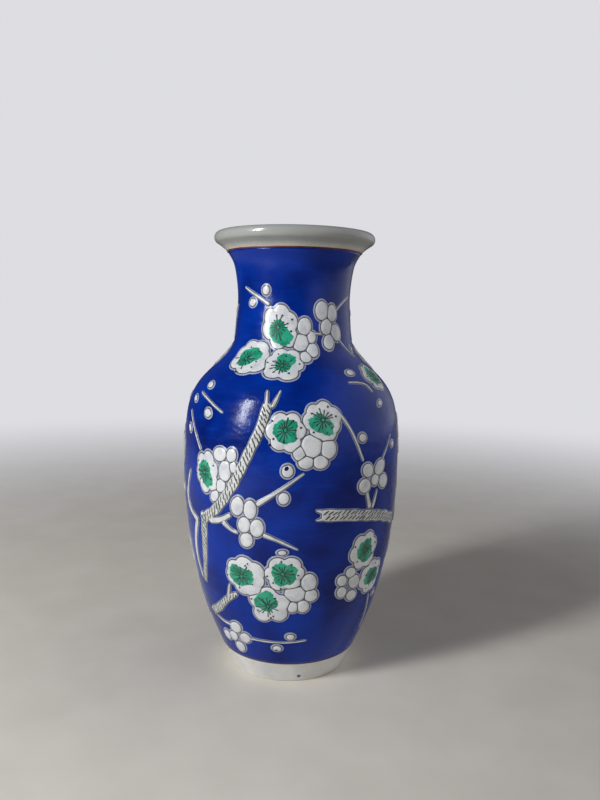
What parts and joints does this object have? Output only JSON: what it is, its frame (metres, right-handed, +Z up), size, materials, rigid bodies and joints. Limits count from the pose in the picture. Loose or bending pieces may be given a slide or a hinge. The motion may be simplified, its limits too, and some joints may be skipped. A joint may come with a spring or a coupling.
{
  "type": "flower vase",
  "caption": "Baluster porcelain flower vase with a flared rolled lip, a blue enamel ground and white plum blossom in low relief.",
  "frame": {"origin": "middle of the circle that the foot stands on", "axes": "+Z up along the vase's axis; -Y is the decorated front, +X to the right seen from the front"},
  "size_m": [0.1252, 0.1252, 0.25],
  "materials": {
    "white_porcelain": "white porcelain under a clear glaze, lightly uneven",
    "bare_foot": "porcelain with its glaze wiped off where it stands",
    "blue_enamel": "cobalt blue overglaze enamel, semi-gloss, brushed on",
    "red_line": "thin iron-red enamel line",
    "white_enamel": "raised white enamel with dark drawn outlines",
    "branch_enamel": "raised grey-white enamel with dark edges and hatching",
    "green_enamel": "thin green enamel wash, rough at its edge"
  },
  "bodies": {
    "root": {"foot_ring": "bare_foot", "lower_body": "white_porcelain", "upper_body": "white_porcelain", "neck_and_mouth": "white_porcelain", "blue_enamel": "blue_enamel", "foot_line": "red_line", "rim_line": "red_line", "neck_spray_wood": "branch_enamel", "neck_spray_blossoms": "white_enamel", "neck_spray_greens": "green_enamel", "neck_spray_petals": "white_enamel", "neck_spray_buds": "white_enamel", "main_bough_wood": "branch_enamel", "main_bough_blossoms": "white_enamel", "main_bough_greens": "green_enamel", "main_bough_petals": "white_enamel", "main_bough_buds": "white_enamel", "right_bough_wood": "branch_enamel", "right_bough_blossoms": "white_enamel", "right_bough_greens": "green_enamel", "right_bough_petals": "white_enamel", "right_bough_buds": "white_enamel", "lower_bough_wood": "branch_enamel", "lower_bough_blossoms": "white_enamel", "lower_bough_greens": "green_enamel", "lower_bough_petals": "white_enamel", "lower_bough_buds": "white_enamel", "foot_bough_wood": "branch_enamel", "foot_bough_blossoms": "white_enamel", "foot_bough_greens": "green_enamel", "foot_bough_petals": "white_enamel", "foot_bough_buds": "white_enamel", "side_bough_wood": "branch_enamel", "side_bough_blossoms": "white_enamel", "side_bough_greens": "green_enamel", "side_bough_petals": "white_enamel", "side_bough_buds": "white_enamel"}
  },
  "joints": []
}
